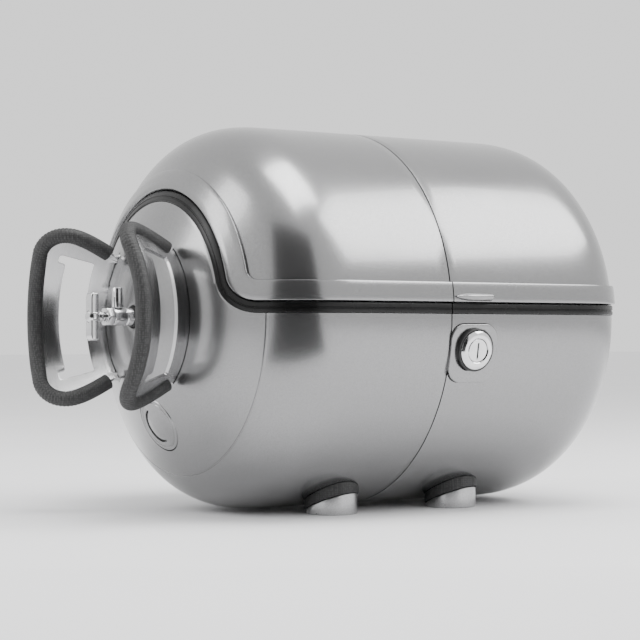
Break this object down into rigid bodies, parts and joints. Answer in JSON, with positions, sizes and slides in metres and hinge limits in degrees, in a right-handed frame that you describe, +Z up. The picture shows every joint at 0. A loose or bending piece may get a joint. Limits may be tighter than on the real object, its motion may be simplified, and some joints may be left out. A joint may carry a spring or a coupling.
{
  "type": "lockable keg housing",
  "caption": "Silver capsule-shaped clamshell housing on feet that holds a pressure keg, with a hinged locking lid, flared carrying handles around a tap valve and a round drain cap.",
  "frame": {"origin": "on the floor under the middle of the object's box", "axes": "+Z up, -Y towards the end with the handles and the tap, +X towards the lock, the hinges on -X"},
  "size_m": [0.3164, 0.4526, 0.3025],
  "materials": {
    "silver_paint": "satin silver metallic paint",
    "black_seal": "smooth semi-gloss black seal",
    "grip_rubber": "matt dark grey ribbed rubber",
    "satin_steel": "satin stainless steel",
    "lock_chrome": "polished chrome",
    "foot_alloy": "satin cast alloy",
    "black_plastic": "black moulded plastic",
    "white_foam": "moulded insulating foam"
  },
  "bodies": {
    "base": {"base_front_shell": "silver_paint", "base_rear_shell": "silver_paint", "base_splice_band": "black_plastic", "front_seal": "black_seal", "rear_seal": "black_seal", "base_liner": "white_foam", "keg_vessel": "satin_steel", "front_cradle": "black_plastic", "rear_cradle": "black_plastic", "left_ear_mount": "satin_steel", "right_ear_mount": "satin_steel", "left_handle_ear": "satin_steel", "right_handle_ear": "satin_steel", "left_grip": "grip_rubber", "right_grip": "grip_rubber", "dip_tube": "satin_steel", "valve_body": "lock_chrome", "valve_grommet": "black_seal", "outlet_spigot": "lock_chrome", "valve_gland": "lock_chrome", "lock_plate": "silver_paint", "lock_bezel": "black_plastic", "lock_housing": "black_plastic", "lock_spring": "satin_steel", "latch_bracket": "satin_steel", "latch_pin": "satin_steel", "hinge_base_leaf_front": "satin_steel", "hinge_base_leaf_rear": "satin_steel", "hinge_pin_front": "satin_steel", "hinge_pin_rear": "satin_steel", "port_seat": "black_plastic", "foot_front_left": "foot_alloy", "foot_front_right": "foot_alloy", "foot_rear_left": "foot_alloy", "foot_rear_right": "foot_alloy", "foot_saddle_front_left": "grip_rubber", "foot_saddle_front_right": "grip_rubber", "foot_saddle_rear_left": "grip_rubber", "foot_saddle_rear_right": "grip_rubber", "foot_screw_front_left": "satin_steel", "foot_screw_front_right": "satin_steel", "foot_screw_rear_left": "satin_steel", "foot_screw_rear_right": "satin_steel"},
    "lid": {"lid_front_shell": "silver_paint", "lid_rear_shell": "silver_paint", "lid_splice_band": "black_plastic", "lid_liner": "white_foam", "finger_pull": "silver_paint", "lid_striker": "satin_steel", "hinge_lid_leaf_front": "satin_steel", "hinge_lid_leaf_rear": "satin_steel"},
    "button": {"lock_button": "lock_chrome"},
    "key": {"key_cylinder": "lock_chrome", "lock_cam": "satin_steel"},
    "latch": {"latch_hook": "satin_steel"},
    "plunger": {"valve_plunger": "black_seal"},
    "tap": {"valve_stem": "lock_chrome", "t_handle": "lock_chrome"},
    "port_ring": {"port_washer": "black_seal"},
    "port": {"port_cap": "silver_paint"}
  },
  "joints": [
    {"name": "lid_hinge", "type": "hinge", "parent": "base", "child": "lid", "pos_m": [-0.1554, 0.03179, 0.159], "axis": [0, -1, 0], "range_deg": [0, 85]},
    {"name": "lock_press", "type": "slide", "parent": "base", "child": "button", "axis": [-0.9863, 0, 0.165], "range_m": [0, 0.003], "stiffness_N_per_m": 600, "deforming": ["lock_spring"]},
    {"name": "key_turn", "type": "hinge", "parent": "button", "child": "key", "pos_m": [0.14794, 0.03479, 0.12774], "axis": [0.9863, 0, -0.165], "range_deg": [0, 90]},
    {"name": "latch_swing", "type": "hinge", "parent": "base", "child": "latch", "pos_m": [0.121, 0.03479, 0.1525], "axis": [0, 1, 0], "range_deg": [0, 7.2]},
    {"name": "tap_lift", "type": "slide", "parent": "base", "child": "plunger", "axis": [0, -1, 0], "range_m": [0, 0.003]},
    {"name": "tap_turn", "type": "hinge", "parent": "plunger", "child": "tap", "pos_m": [0, -0.20321, 0.1525], "axis": [0, -1, 0], "range_deg": [0, 720]},
    {"name": "port_pull", "type": "slide", "parent": "base", "child": "port_ring", "axis": [0.0255, -0.9057, -0.4232], "range_m": [0, 0.02]},
    {"name": "port_turn", "type": "hinge", "parent": "port_ring", "child": "port", "pos_m": [0.005, -0.15911, 0.0695], "axis": [0.0255, -0.9057, -0.4232], "range_deg": [0, 90]}
  ],
  "couplings": [
    {"joint": "latch_swing", "follows": "lock_press", "rad_per_m": 41.7},
    {"joint": "tap_turn", "follows": "tap_lift", "rad_per_m": 4188.8}
  ]
}
